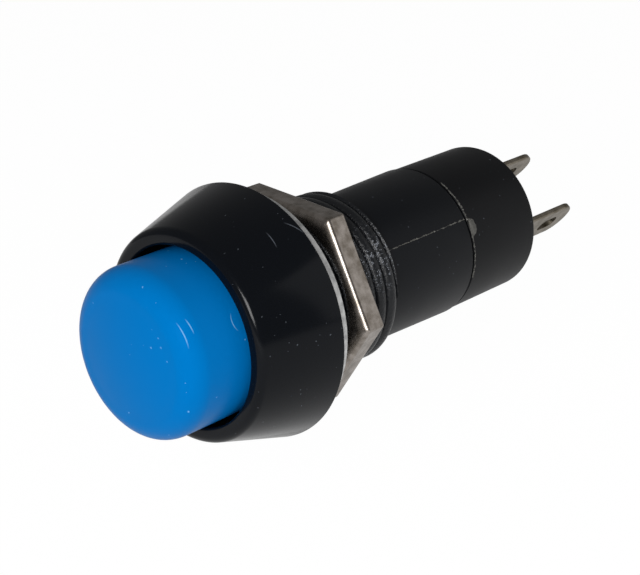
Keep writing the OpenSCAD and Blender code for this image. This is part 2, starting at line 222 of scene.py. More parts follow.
def close_up(smooth=SMOOTH_DEG):
    """Merges doubles, turns the faces outwards, leaves edit mode and shades the piece smooth,
    but for edges that turn by more than this angle in degrees."""
    bpy.ops.mesh.select_all(action="SELECT")
    bpy.ops.mesh.remove_doubles(threshold=MERGE_GAP * MM)
    bpy.ops.mesh.normals_make_consistent(inside=False)
    bpy.ops.object.mode_set(mode="OBJECT")
    bpy.ops.object.shade_smooth_by_angle(angle=math.radians(smooth))


def arc(x, y, r, start, end, steps):
    """Points of an arc about (x, y), in a half section of radius and y."""
    angles = [math.radians(start + (end - start) * i / steps) for i in range(steps + 1)]
    return [(x + r * math.cos(a), y + r * math.sin(a)) for a in angles]


def drawn(name, points):
    """A line of edges from point to point, given as (x, y), left open in edit mode."""
    piece = begin(name, bpy.ops.mesh.primitive_plane_add, size=MM)
    bpy.ops.mesh.merge(type="CENTER")
    bpy.ops.transform.translate(value=(points[0][0] * MM, points[0][1] * MM, 0))
    for (x0, y0), (x1, y1) in zip(points, points[1:]):
        step = ((x1 - x0) * MM, (y1 - y0) * MM, 0)
        bpy.ops.mesh.extrude_vertices_move(TRANSFORM_OT_translate={"value": step})
    bpy.ops.mesh.select_all(action="SELECT")
    return piece


def turned(name, profile):
    """A piece of revolution about the switch axis: its half section, given as points of
    (radius, y), is drawn and spun round the axis."""
    piece = drawn(name, profile)
    bpy.ops.mesh.spin(steps=SPIN_STEPS, angle=2 * math.pi, center=(0, 0, 0), axis=(0, 1, 0))
    close_up()
    return piece


def start_finish(name, colour, roughness, metallic=0.0, **sockets):
    """A principled finish, and the Object coordinates that its patterns start from."""
    finish = bpy.data.materials.new(name)
    finish.use_nodes = True
    tree = finish.node_tree
    tree.nodes.clear()
    place = add_node(tree, "ShaderNodeTexCoord").outputs["Object"]
    shader = add_node(tree, "ShaderNodeBsdfPrincipled", {
        "Base Color": linear(colour), "Roughness": roughness, "Metallic": metallic, **sockets})
    add_node(tree, "ShaderNodeOutputMaterial", {"Surface": shader.outputs[0]})
    return finish, tree, shader, place


# Flecks: how far noise tears their outline and how coarsely, and the distances at which they
# fade out and are full, all as shares of their radius. They crowd into patches of so many cells.
TEAR_REACH = 3
TEAR_SIZE = 1.6
FLECK_FADES = 1.5
FLECK_FULL = 0.6
PATCH_CELLS = 6
PATCH_STARTS = 0.4
PATCH_FULL = 0.65
PATCH_CROWD = 1.6


def flecks(tree, place, cell, radius, share, stretch=(1, 1, 1), lean=(0, 0, 0)):
    """A mask of small flecks: one in each cell of this size in millimetres, kept in a share of
    the cells. A stretched fleck is a scratch, which leans by these angles."""
    ragged = add_node(tree, "ShaderNodeTexNoise", {
        "Vector": place, "Scale": 1 / (TEAR_SIZE * radius * MM)})
    torn = add_node(tree, "ShaderNodeVectorMath", {
        0: ragged.outputs["Color"], 1: [TEAR_REACH * radius * MM] * 3, 2: place},
        operation="MULTIPLY_ADD")
    leaning = add_node(tree, "ShaderNodeMapping", {
        "Vector": torn.outputs[0], "Rotation": [math.radians(a) for a in lean],
        "Scale": [1 / k for k in stretch]})
    cells = add_node(tree, "ShaderNodeTexVoronoi", {
        "Vector": leaning.outputs[0], "Scale": 1 / (cell * MM)})
    lots = add_node(tree, "ShaderNodeSeparateColor", {"Color": cells.outputs["Color"]})
    spread = add_node(tree, "ShaderNodeMath", {
        0: cells.outputs["Distance"], 1: lots.outputs[1]}, operation="DIVIDE")
    size = add_node(tree, "ShaderNodeMapRange", {
        "Value": spread.outputs[0], "From Min": FLECK_FADES * radius / cell,
        "From Max": FLECK_FULL * radius / cell})
    patches = add_node(tree, "ShaderNodeTexNoise", {
        "Vector": place, "Scale": 1 / (PATCH_CELLS * cell * MM), "Detail": 0})
    crowd = add_node(tree, "ShaderNodeMapRange", {
        "Value": patches.outputs[0], "From Min": PATCH_STARTS, "From Max": PATCH_FULL,
        "To Max": PATCH_CROWD * share})
    kept = add_node(tree, "ShaderNodeMath", {0: lots.outputs[0], 1: crowd.outputs[0]},
                    operation="LESS_THAN")
    both = add_node(tree, "ShaderNodeMath", {0: size.outputs[0], 1: kept.outputs[0]},
                    operation="MULTIPLY")
    return both.outputs[0]


HAIRLINE_W = 0.07
HAIRLINE_FADE = 0.8


def hairlines(tree, place, marks, scratches):
    """Adds single scratches to a mask of marks. Each is an arc about a centre, through its
    middle point, with its length, all in millimetres. It fades towards both ends."""
    for centre, middle, length in scratches:
        from_centre = add_node(tree, "ShaderNodeVectorMath", {
            0: place, 1: [c * MM for c in centre]}, operation="DISTANCE")
        line = add_node(tree, "ShaderNodeMath", {
            0: from_centre.outputs["Value"], 1: math.dist(centre, middle) * MM,
            2: HAIRLINE_W / 2 * MM}, operation="COMPARE")
        from_middle = add_node(tree, "ShaderNodeVectorMath", {
            0: place, 1: [c * MM for c in middle]}, operation="DISTANCE")
        fade = add_node(tree, "ShaderNodeMapRange", {
            "Value": from_middle.outputs["Value"], "From Min": length / 2 * MM,
            "From Max": length / 6 * MM, "To Max": HAIRLINE_FADE})
        scratch = add_node(tree, "ShaderNodeMath", {0: line.outputs[0], 1: fade.outputs[0]},
                           operation="MULTIPLY")
        marks = add_node(tree, "ShaderNodeMath", {0: marks, 1: scratch.outputs[0]},
                         operation="MAXIMUM").outputs[0]
    return marks


POLISH_ENDS = -0.1
SATIN_STARTS = 0.3
POLISHED_GRAIN = 0.03
SMEAR_SIZE = 2.2
SMEAR = 0.07
WORN_DULL = 0.4


def black_abs(name, colour, gloss, plain, grain_size=0.09, rough_grain=0.16, relief=0.02,
              sheen=0.16, dust_and_glints=(0.45, 0.045, 0.8), mark_and_glint="#5A5F67", glint_side=None, scratches=()):
    """Moulded black ABS: a deep, faintly blue black with a skin that shows the tool's surface.
    It is glossy where the tool was polished, in front of the panel, and satin behind it, with
    dust that clings by static and pale scratches from handling. The skin's real grain is a few
    hundredths of a millimetre, and it is drawn as coarse as it needs to show.

    gloss and plain are the roughness before and behind the panel. grain_size, rough_grain and
    relief are the size, strength and height of the satin grain. The next argument gives the cell,
    radius and share of the flecks, which are dust, but on the thread painted glints, and the one
    after it their colour and that of the scratches. The side argument keeps flecks and scratches
    to the side that the front light falls on, where they are painted highlights: its direction
    in degrees about the axis, and where they start and are full along it.
    scratches are single hairlines."""
    finish, tree, shader, place = start_finish(name, colour, plain,
                                               **{"Specular IOR Level": sheen})
    along = add_node(tree, "ShaderNodeSeparateXYZ", {"Vector": place})
    panel = {"Value": along.outputs["Y"], "From Min": POLISH_ENDS * MM,
             "From Max": SATIN_STARTS * MM}
    polish = add_node(tree, "ShaderNodeMapRange", {**panel, "To Min": gloss, "To Max": plain})
    smear = add_node(tree, "ShaderNodeTexNoise", {
        "Vector": place, "Scale": 1 / (SMEAR_SIZE * MM), "Detail": 4})
    smeared = add_node(tree, "ShaderNodeMath", {
        0: smear.outputs[0], 1: SMEAR, 2: polish.outputs[0]}, operation="MULTIPLY_ADD")
    fleck_mask = flecks(tree, place, *dust_and_glints)
    streak_mask = flecks(tree, place, cell=0.4, radius=0.03, share=0.16, stretch=(1, 7, 1),
                       lean=(20, 0, 35))
    marks = add_node(tree, "ShaderNodeMath", {0: fleck_mask, 1: streak_mask},
                     operation="MAXIMUM").outputs[0]
    marks = hairlines(tree, place, marks, scratches)
    # Painted highlights: on the thread, flecks and streaks are kept to the side that the front
    # light falls on
    if glint_side:
        degrees, low, high = glint_side
        towards = (math.cos(math.radians(degrees)), 0, math.sin(math.radians(degrees)))
        side = add_node(tree, "ShaderNodeVectorMath", {0: place, 1: towards},
                        operation="DOT_PRODUCT")
        there = add_node(tree, "ShaderNodeMapRange", {
            "Value": side.outputs["Value"], "From Min": low * MM, "From Max": high * MM})
        marks = add_node(tree, "ShaderNodeMath", {0: marks, 1: there.outputs[0]},
                         operation="MULTIPLY").outputs[0]
    marked_colour = add_node(tree, "ShaderNodeMix", {0: marks, 6: linear(colour), 7: linear(mark_and_glint)},
                    data_type="RGBA")
    tree.links.new(marked_colour.outputs[2], shader.inputs["Base Color"])
    dull = add_node(tree, "ShaderNodeMath", {0: marks, 1: WORN_DULL, 2: smeared.outputs[0]},
                    operation="MULTIPLY_ADD", use_clamp=True)
    tree.links.new(dull.outputs[0], shader.inputs["Roughness"])
    grain = add_node(tree, "ShaderNodeTexNoise", {
        "Vector": place, "Scale": 1 / (grain_size * MM), "Detail": 2})
    depth = add_node(tree, "ShaderNodeMapRange", {
        **panel, "To Min": POLISHED_GRAIN, "To Max": rough_grain})
    bump = add_node(tree, "ShaderNodeBump", {
        "Height": grain.outputs[0], "Strength": depth.outputs[0], "Distance": relief * MM})
    tree.links.new(bump.outputs[0], shader.inputs["Normal"])
    return finish


def dress(piece, finish):
    """Gives a piece one finish, on its own slots."""
    if not piece.data.materials:
        piece.data.materials.append(finish)
    for slot in piece.material_slots:
        slot.material = finish


# Two hairlines on the bezel's cone, each with its centre, its middle point and its length
BEZEL_SCRATCHES = [((6.1, -3.91, 6.28), (4.7, -0.35, 7.2), 1.5),
                   ((3.8, -5.98, 6.4), (4.45, -2.05, 6.8), 1.3)]

bezel_front_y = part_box("housing")[0][1] / MM
seam_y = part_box("housing")[1][1] / MM
bezel_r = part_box("housing")[1][0] / MM

# The half section runs from the well's rim over the bezel and back along the outside to the
# seam, then forwards again through chamber, guide bore and spring well
housing = turned("housing_moulding", (
    arc(WELL_R + WELL_EDGE_R, bezel_front_y + WELL_EDGE_R, WELL_EDGE_R, 180, 270, 6)
    + arc(BEZEL_FRONT_R - BEZEL_EDGE_R, bezel_front_y + BEZEL_EDGE_R, BEZEL_EDGE_R, 270, 350, 8)
    + arc(bezel_r - BEZEL_FOOT_R, -BEZEL_FOOT_R, BEZEL_FOOT_R, -10, 90, 4)
    + [(bezel_r - RIM_W, 0), (bezel_r - RIM_W, -RELIEF_H), (THREAD_ROOT_R, -RELIEF_H)]
    + [(THREAD_ROOT_R, THREAD_END_Y), (BARREL_R, THREAD_END_Y)]
    + arc(BARREL_SEAM_R - SEAM_EDGE_R, seam_y - SEAM_EDGE_R, SEAM_EDGE_R, 0, 90, 4)
    + [(CHAMBER_R, seam_y), (CHAMBER_R, STOP_Y), (GUIDE_R, STOP_Y), (GUIDE_R, SHELF_Y)]
    + [(SPRING_WELL_R, SHELF_Y), (SPRING_WELL_R, WELL_FLOOR_Y), (WELL_R, WELL_FLOOR_Y)]
    + [(WELL_R, bezel_front_y + WELL_EDGE_R)]
))
dress(housing, black_abs("black_abs_moulded", "#0A0D12", gloss=0.12, plain=0.4,
                         scratches=BEZEL_SCRATCHES))
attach(housing, "case")
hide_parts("housing")

# Thread: a right-hand ridge of 1 mm pitch, drawn as one tooth and screwed round the core.
# A chamfer cuts it off at the rear.
PITCH = 1.0
RIDGE_W = 0.94
RIDGE_STEPS = 14
RIDGE_FULLNESS = 0.4
RIDGE_SINK = 0.1
THREAD_STEPS = 96
THREAD_TURNS = 9
THREAD_START_Y = -0.187
THREAD_CHAMFER = 0.12
THREAD_CORE_R = 1.0
SPARE = 1.0


def only(piece):
    """Selects a piece alone and makes it the active one."""
    bpy.ops.object.select_all(action="DESELECT")
    piece.select_set(True)
    bpy.context.view_layer.objects.active = piece


def cut(piece, cutter, operation="DIFFERENCE"):
    """Cuts cutter out of piece, or keeps what both share, and deletes the cutter. A cutter
    reaches a spare length past what it cuts."""
    only(piece)
    boolean = piece.modifiers.new("cut", "BOOLEAN")
    boolean.operation = operation
    boolean.solver = "EXACT"
    boolean.object = cutter
    bpy.ops.object.modifier_apply(modifier=boolean.name)
    bpy.data.objects.remove(cutter)


ridge_base_r = THREAD_ROOT_R - RIDGE_SINK
ridge_h = THREAD_CREST_R - THREAD_ROOT_R
ridge_front_y = THREAD_START_Y - RIDGE_W / 2
ridge_rear_y = THREAD_START_Y + RIDGE_W / 2
across = [i / RIDGE_STEPS - 0.5 for i in range(1, RIDGE_STEPS)]
thread = drawn("thread", (
    [(ridge_base_r, ridge_front_y), (THREAD_ROOT_R, ridge_front_y)]
    + [(THREAD_ROOT_R + ridge_h * math.cos(math.pi * t) ** RIDGE_FULLNESS,
        THREAD_START_Y + RIDGE_W * t) for t in across]
    + [(THREAD_ROOT_R, ridge_rear_y), (ridge_base_r, ridge_rear_y)]
))
bpy.ops.mesh.edge_face_add()
bpy.ops.object.mode_set(mode="OBJECT")
screw = thread.modifiers.new("thread", "SCREW")
screw.axis = "Y"
screw.angle = 2 * math.pi
screw.screw_offset = PITCH * MM
screw.iterations = THREAD_TURNS
screw.steps = screw.render_steps = THREAD_STEPS
bpy.ops.object.modifier_apply(modifier=screw.name)
bpy.ops.object.mode_set(mode="EDIT")
bpy.ops.mesh.select_all(action="SELECT")
bpy.ops.mesh.remove_doubles(threshold=MERGE_GAP * MM)
bpy.ops.mesh.fill_holes(sides=0)
close_up()
# A sleeve trims the ridge flush with the relief in front and to its chamfer behind
sleeve_r = THREAD_CREST_R + SPARE
cut(thread, turned("thread_ends", [
    (THREAD_CORE_R, -RELIEF_H), (sleeve_r, -RELIEF_H),
    (sleeve_r, THREAD_END_Y - THREAD_CHAMFER - SPARE),
    (THREAD_CREST_R - THREAD_CHAMFER, THREAD_END_Y), (THREAD_CORE_R, THREAD_END_Y),
    (THREAD_CORE_R, -RELIEF_H)]), "INTERSECT")
bpy.ops.object.shade_smooth_by_angle(angle=math.radians(SMOOTH_DEG))
# The thread's flanks kept the coarse spark-eroded skin of their slides, which glitters
# Its pale flecks and streaks are painted glints, kept to the crests on the side the front light
# falls on
dress(thread, black_abs("black_abs_thread", "#111317", gloss=0.3, plain=0.3, grain_size=0.14,
                        rough_grain=1.0, relief=0.05, sheen=0.38, dust_and_glints=(0.085, 0.037, 0.85),
                        mark_and_glint="#A9AEB7", glint_side=(32, 5.35, 5.95)))
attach(thread, "case")

# ---------------------------------------------------------------------------------------
# Rear base
# A plug in black ABS that closes the barrel. Its spigot is pushed into the chamber, and the
# lugs are held in two slots through it. The gate's stub was left at its front edge.

BASE_EDGE_R = 0.25
SEAM_BREAK = 0.06
SEAM_GAP = 0.24
SEAM_DEPTH = 0.4
SPIGOT_R = 4.14
SPIGOT_Y = 13.95
PIN_WELL_R = 1.8
PIN_WELL_Y = 15.35
LUG_W = 3.1
LUG_T = 0.45
LUG_X = 2.52
LUG_TURN = 37.6
SLOT_GAP = 0.02


def block(name, low, high):
    """A block between two corners, in millimetres, left open in edit mode."""
    middle = [(a + b) / 2 * MM for a, b in zip(low, high)]
    spans = [(b - a) * MM for a, b in zip(low, high)]
    piece = begin(name, bpy.ops.mesh.primitive_cube_add, size=1)
    bpy.ops.transform.resize(value=spans)
    bpy.ops.transform.translate(value=middle)
    return piece


def turn(piece, degrees):
    """Turns a finished piece about the switch axis, and keeps the turn in its mesh."""
    only(piece)
    piece.rotation_euler = (0, math.radians(degrees), 0)
    bpy.ops.object.transform_apply(location=True, rotation=True, scale=True)


base_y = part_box("rear_base")[1][1] / MM
base_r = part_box("rear_base")[1][0] / MM

base = turned("base_plug", (
    [(0, base_y)]
    + arc(base_r - BASE_EDGE_R, base_y - BASE_EDGE_R, BASE_EDGE_R, 90, 0, 6)
    + [(base_r, seam_y + SEAM_GAP + SEAM_BREAK), (base_r - SEAM_BREAK, seam_y + SEAM_GAP)]
    + [(base_r - SEAM_DEPTH, seam_y + SEAM_GAP), (base_r - SEAM_DEPTH, seam_y), (SPIGOT_R, seam_y)]
    + [(SPIGOT_R, SPIGOT_Y), (PIN_WELL_R, SPIGOT_Y), (PIN_WELL_R, PIN_WELL_Y), (0, PIN_WELL_Y)]
))
slot_inner_x = LUG_X - LUG_T / 2 - SLOT_GAP
slot_outer_x = LUG_X + LUG_T / 2 + SLOT_GAP
slot_half_w = LUG_W / 2 + SLOT_GAP
for degrees in (LUG_TURN + 180, LUG_TURN):
    slot = block("slot", (slot_inner_x, SPIGOT_Y - SPARE, -slot_half_w),
                 (slot_outer_x, base_y + SPARE, slot_half_w))
    close_up()
    turn(slot, degrees)
    cut(base, slot)
bpy.ops.object.shade_smooth_by_angle(angle=math.radians(SMOOTH_DEG))
# The plug's tool was plain all over, so it is satin from end to end
dress(base, black_abs("black_abs_plug", "#0B0C0F", gloss=0.4, plain=0.42))
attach(base, "case")
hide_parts("rear_base")

# Marks that moulding and fitting left: flash where the barrel's mould halves met, crumbs of
# flash squeezed out along the seam, and the stub where the plug was torn off its gate.
FLASH_STEP = 0.12
FLASH_WANDER = 0.25
FLASH_FULLNESS = 3
PARTING_TURN = 33
PARTING_T = (0.01, 0.075)
PARTING_FROM_THREAD = 0.5
PARTING_TO_SEAM = 0.1
SEAM_FLASH_T = (0.01, 0.08)
SEAM_FLASH_TURNS = range(-14, 68)
SEAM_FLASH_SPREAD = 0.09
SEAM_FLASH_SINK = 0.05
GATE_TURN = 26
GATE_R = 0.66
GATE_RISE = 0.22
GATE_TEAR = 0.2
GATE_TEAR_SIZE = 0.18
chance = random.Random(7)

# Torn ABS: greyed where it was stretched, and rough
torn_abs = black_abs("torn_abs_flash", "#5E5D59", gloss=0.5, plain=0.5, grain_size=0.08,
                     rough_grain=1.0, relief=0.06, sheen=0.4, dust_and_glints=(0.12, 0.05, 0.5),
                     mark_and_glint="#A8A7A2")


def swept(name, path, corners, smooth=SMOOTH_DEG):
    """A rod with closed ends, drawn through a path of pairs of a place and a radius, all in
    millimetres. The more corners, the rounder it is."""
    line = bpy.data.curves.new(name, "CURVE")
    line.dimensions = "3D"
    line.bevel_depth = MM
    line.bevel_resolution = corners
    line.use_fill_caps = True
    spline = line.splines.new("POLY")
    spline.points.add(len(path) - 1)
    for point, (place, radius) in zip(spline.points, path):
        point.co = [c * MM for c in place] + [1]
        point.radius = radius
    rod = bpy.data.objects.new(name, line)
    bpy.context.scene.collection.objects.link(rod)
    only(rod)
    bpy.ops.object.convert(target="MESH")
    bpy.ops.object.mode_set(mode="EDIT")
    close_up(smooth)
    return bpy.context.object


def flash(name, path, thick):
    """A thin ragged line of flash along a path of (angle, y, radius) round the switch axis. Its
    thickness changes at random from point to point between the two given, with some breaks."""
    ragged = []
    for degrees, y, r in path:
        a = math.radians(degrees + chance.uniform(-FLASH_WANDER, FLASH_WANDER))
        half_t = chance.uniform(*thick) * min(1, FLASH_FULLNESS * chance.random())
        ragged.append(((r * math.cos(a), y, r * math.sin(a)), half_t))
    piece = swept(name, ragged, corners=1)
    dress(piece, torn_abs)
    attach(piece, "case")


def barrel_skin(y):
    """Radius of the barrel's drafted outside at this place."""
    return BARREL_R + (BARREL_SEAM_R - BARREL_R) * (y - THREAD_END_Y) / (seam_y - THREAD_END_Y)


parting_y = THREAD_END_Y + PARTING_FROM_THREAD
parting_len = seam_y - PARTING_TO_SEAM - parting_y
parting_steps = int(parting_len / FLASH_STEP)
places = [parting_y + parting_len * i / parting_steps for i in range(parting_steps + 1)]
for degrees in (PARTING_TURN, PARTING_TURN - 180):
    flash("parting_flash", [(degrees, y, barrel_skin(y)) for y in places], PARTING_T)
flash("seam_flash", [(degrees, seam_y + SEAM_GAP + chance.uniform(0, SEAM_FLASH_SPREAD),
                      BARREL_SEAM_R - SEAM_FLASH_SINK) for degrees in SEAM_FLASH_TURNS],
      SEAM_FLASH_T)

gate = begin("gate_stub", bpy.ops.mesh.primitive_uv_sphere_add, segments=40, ring_count=20,
             radius=GATE_R * MM)
bpy.ops.transform.resize(value=(GATE_RISE / GATE_R, 1, 1))
bpy.ops.transform.translate(value=(base_r * MM, (seam_y + SEAM_GAP) * MM, 0))
close_up(60)
gate_front = block("gate_front", (base_r - SPARE, seam_y - 2 * SPARE, -2 * SPARE),
                   (base_r + SPARE, seam_y + SEAM_GAP, 2 * SPARE))
close_up()
cut(gate, gate_front)
tear = bpy.data.textures.new("tear", "CLOUDS")
tear.noise_scale = GATE_TEAR_SIZE * MM
torn = gate.modifiers.new("torn", "DISPLACE")
torn.texture = tear
torn.strength = GATE_TEAR * MM
bpy.ops.object.modifier_apply(modifier=torn.name)
turn(gate, -GATE_TURN)
dress(gate, torn_abs)
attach(gate, "case")

# ---------------------------------------------------------------------------------------
# Solder lugs
# Two blades stamped from brass sheet and dull nickel plated. Each has a full-round tip, an
# oblong eye for the wire, and a foot bent outwards that carries its fixed contact inside.

FOOT_Y = 13.5
FOOT_REACH = 3.64
BEND_R = 0.65
EYE_W = 1.2
EYE_LEN = 2.1
EYE_BACK = 2.6
LUG_EDGE_R = 0.11
LUG_EDGE_DEG = 50
SHANK_R = 0.35
SHANK_GAP = 0.01
SHANK_SPARE = 0.05
CONTACT_X = 2.93
NEAR = 0.005


def pick(piece, wanted, kind="faces"):
    """Selects, in edit mode, just those faces or edges of a piece whose corners, given in
    millimetres, wanted() says yes to."""
    bpy.ops.mesh.select_mode(type="FACE" if kind == "faces" else "EDGE")
    bpy.ops.mesh.select_all(action="DESELECT")
    bpy.ops.object.mode_set(mode="OBJECT")
    for part in piece.data.polygons if kind == "faces" else piece.data.edges:
        part.select = wanted([piece.data.vertices[v].co / MM for v in part.vertices])
    bpy.ops.object.mode_set(mode="EDIT")


def near(value, place):
    """Whether a length in millimetres lies at this place, within a few microns."""
    return abs(value - place) < NEAR


def round_edges(piece, radius, degrees):
    """Rounds those edges of the active piece that turn by more than this angle."""
    edges = piece.modifiers.new("edges", "BEVEL")
    edges.width = radius * MM
    edges.segments = 3
    edges.limit_method = "ANGLE"
    edges.angle_limit = math.radians(degrees)
    bpy.ops.object.modifier_apply(modifier=edges.name)


lug_tip_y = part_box("terminal_right")[1][1] / MM
inner_x = LUG_X - LUG_T / 2
outer_x = LUG_X + LUG_T / 2
bend_y = FOOT_Y + BEND_R

lug = block("lug_right", (inner_x, bend_y, -LUG_W / 2), (outer_x, lug_tip_y, LUG_W / 2))
pick(lug, lambda ends: all(near(p.y, lug_tip_y) for p in ends)
     and near(ends[0].z, ends[1].z), "edges")
bpy.ops.mesh.bevel(offset=LUG_W / 2 * MM, offset_type="OFFSET", segments=16, affect="EDGES",
                   clamp_overlap=True)
pick(lug, lambda corners: all(near(p.y, bend_y) for p in corners))
bpy.ops.mesh.spin(steps=8, angle=math.radians(-90),
                  center=((inner_x + BEND_R) * MM, bend_y * MM, 0), axis=(0, 0, 1))
foot_len = (FOOT_REACH - inner_x - BEND_R) * MM
bpy.ops.mesh.extrude_region_move(TRANSFORM_OT_translate={"value": (foot_len, 0, 0)})
close_up()
round_edges(lug, LUG_EDGE_R, LUG_EDGE_DEG)
eye_y = lug_tip_y - EYE_BACK
eye = block("eye", (inner_x - SPARE, eye_y - EYE_LEN / 2, -EYE_W / 2),
            (outer_x + SPARE, eye_y + EYE_LEN / 2, EYE_W / 2))
pick(eye, lambda ends: near(ends[0].y, ends[1].y) and near(ends[0].z, ends[1].z), "edges")
bpy.ops.mesh.bevel(offset=EYE_W / 2 * MM, offset_type="OFFSET", segments=12, affect="EDGES")
close_up()
cut(lug, eye)
shank_hole = begin("shank_hole", bpy.ops.mesh.primitive_cylinder_add, vertices=48,
                   radius=(SHANK_R + SHANK_GAP) * MM, depth=(LUG_T + SHANK_SPARE) * MM,
                   location=(CONTACT_X * MM, (FOOT_Y + LUG_T / 2) * MM, 0),
                   rotation=(math.radians(90), 0, 0))
close_up()
cut(lug, shank_hole)
bpy.ops.object.shade_smooth_by_angle(angle=math.radians(40))

other_lug = lug.copy()
other_lug.data = lug.data.copy()
other_lug.name = "lug_left"
bpy.context.scene.collection.objects.link(other_lug)
turn(lug, LUG_TURN)
turn(other_lug, LUG_TURN + 180)

GRAIN_SPREAD = 0.2
METAL_RELIEF = 0.01
BLOTCH_STARTS = 0.4
BLOTCH_FULL = 0.65


def metal(name, colour, roughness, grain, depth, tarnish, blotch):
    """A metal with a fine grain that breaks up its shine, and blotches of a second colour where
    it has been handled. grain and blotch are sizes in millimetres, and depth is the grain's
    strength. Real grain is a few microns, and it is drawn as coarse as it needs to show."""
    finish, tree, shader, place = start_finish(name, colour, roughness, metallic=1.0)
    cloud = add_node(tree, "ShaderNodeTexNoise", {
        "Vector": place, "Scale": 1 / (blotch * MM), "Detail": 5, "Roughness": 0.6})
    spread = add_node(tree, "ShaderNodeMapRange", {
        "Value": cloud.outputs[0], "From Min": BLOTCH_STARTS, "From Max": BLOTCH_FULL})
    shade = add_node(tree, "ShaderNodeMix", {
        0: spread.outputs[0], 6: linear(colour), 7: linear(tarnish)}, data_type="RGBA")
    tree.links.new(shade.outputs[2], shader.inputs["Base Color"])
    fine = add_node(tree, "ShaderNodeTexNoise", {
        "Vector": place, "Scale": 1 / (grain * MM), "Detail": 3})
    rough = add_node(tree, "ShaderNodeMath", {
        0: fine.outputs[0], 1: GRAIN_SPREAD, 2: roughness - GRAIN_SPREAD / 2},
        operation="MULTIPLY_ADD")
    tree.links.new(rough.outputs[0], shader.inputs["Roughness"])
    bump = add_node(tree, "ShaderNodeBump", {
        "Height": fine.outputs[0], "Strength": depth, "Distance": METAL_RELIEF * MM})
    tree.links.new(bump.outputs[0], shader.inputs["Normal"])
    return finish


# Nickel plate on stamped brass, dulled by air and fingers: warm grey, with a soft shine
lug_nickel = metal("dull_nickel_plate", "#8F877A", roughness=0.4, grain=0.12, depth=0.25,
                   tarnish="#6F6758", blotch=0.7)

for piece, node in ((lug, "terminal_right"), (other_lug, "terminal_left")):
    dress(piece, lug_nickel)
    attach(piece, "case")
    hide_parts(node)

# ---------------------------------------------------------------------------------------
# Button cap
# A push cap moulded in glossy blue ABS, with a crowned top and a wide round edge. A boss
# inside it is pressed on the plunger's stem.

CAP_EDGE_R = 1.7
CAP_CROWN = 0.36
CAP_WALL = 1.2
CAP_TOP = 2.4
BOSS_R = 2.5
BOSS_END_Y = -4.86
SOCKET_R = 1.31
SOCKET_DEPTH = 2.9
CAP_BLUE = "#0079C8"
CAP_MARK = "#7FBCEE"
CAP_SHEEN = 0.07
CAP_SHEEN_TINT = "#2E98E6"
CAP_GLOSS = 0.26
CAP_SMEAR = 0.14
CAP_SMEAR_SIZE = 1.5
# Three hairlines, two over the crown and one on the side, each with its centre, its middle
# point and its length
CAP_SCRATCHES = [((2.77, -12.94, 1.54), (4.5, -9.6, 2.89), 1.8),
                 ((3.92, -12.87, 2.32), (4.52, -9.11, 3.32), 1.1),
                 ((4.97, -5.14, 2.73), (5.03, -6.11, 2.68), 1.3)]

cap_front_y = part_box("button_cap")[0][1] / MM
cap_rear_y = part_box("button_cap")[1][1] / MM
cap_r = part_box("button_cap")[1][0] / MM
flat_r = cap_r - CAP_EDGE_R
crown_r = (flat_r ** 2 + CAP_CROWN ** 2) / (2 * CAP_CROWN)
crown_deg = math.degrees(math.asin(flat_r / crown_r))
ceiling_y = cap_front_y + CAP_TOP

cap = turned("push_cap", (
    arc(0, cap_front_y + crown_r, crown_r, 270, 270 + crown_deg, 10)
    + arc(flat_r, cap_front_y + CAP_CROWN + CAP_EDGE_R, CAP_EDGE_R, 270 + crown_deg, 360, 16)
    + [(cap_r, cap_rear_y), (cap_r - CAP_WALL, cap_rear_y), (cap_r - CAP_WALL, ceiling_y)]
    + [(BOSS_R, ceiling_y), (BOSS_R, BOSS_END_Y), (SOCKET_R, BOSS_END_Y)]
    + [(SOCKET_R, BOSS_END_Y - SOCKET_DEPTH), (0, BOSS_END_Y - SOCKET_DEPTH)]
))

# Blue ABS from a polished tool: saturated, with a soft shine, dust and hairline scratches
blue_abs, tree, shader, place = start_finish("blue_abs_gloss", CAP_BLUE, CAP_GLOSS, **{
    "Specular IOR Level": CAP_SHEEN, "Specular Tint": linear(CAP_SHEEN_TINT)})
fleck_mask = flecks(tree, place, cell=0.6, radius=0.055, share=0.3)
streak_mask = flecks(tree, place, cell=0.5, radius=0.035, share=0.12, stretch=(1, 1, 9),
                   lean=(0, 25, 0))
marks = add_node(tree, "ShaderNodeMath", {0: fleck_mask, 1: streak_mask}, operation="MAXIMUM").outputs[0]
marks = hairlines(tree, place, marks, CAP_SCRATCHES)
marked_colour = add_node(tree, "ShaderNodeMix", {0: marks, 6: linear(CAP_BLUE), 7: linear(CAP_MARK)},
                data_type="RGBA")
tree.links.new(marked_colour.outputs[2], shader.inputs["Base Color"])
smear = add_node(tree, "ShaderNodeTexNoise", {
    "Vector": place, "Scale": 1 / (CAP_SMEAR_SIZE * MM), "Detail": 4})
rough = add_node(tree, "ShaderNodeMath", {0: smear.outputs[0], 1: CAP_SMEAR, 2: CAP_GLOSS},
                 operation="MULTIPLY_ADD")
tree.links.new(rough.outputs[0], shader.inputs["Roughness"])
dress(cap, blue_abs)
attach(cap, "button")
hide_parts("button_cap")

# ---------------------------------------------------------------------------------------
# Springs
# Two coils of stainless spring wire with closed ends: the return spring stands on the
# housing's shelf under the cap, and the contact spring presses the bridge down its pin.

WIRE_STEPS = 24
COIL_CLOSE = 1.04
RETURN_TURNS = 10
RETURN_R = 3.1
RETURN_WIRE = 0.45
CONTACT_TURNS = 4
CONTACT_R = 1.5
CONTACT_WIRE = 0.26
BRIDGE_Y = 10.6
STOP_REAR_Y = 8.2


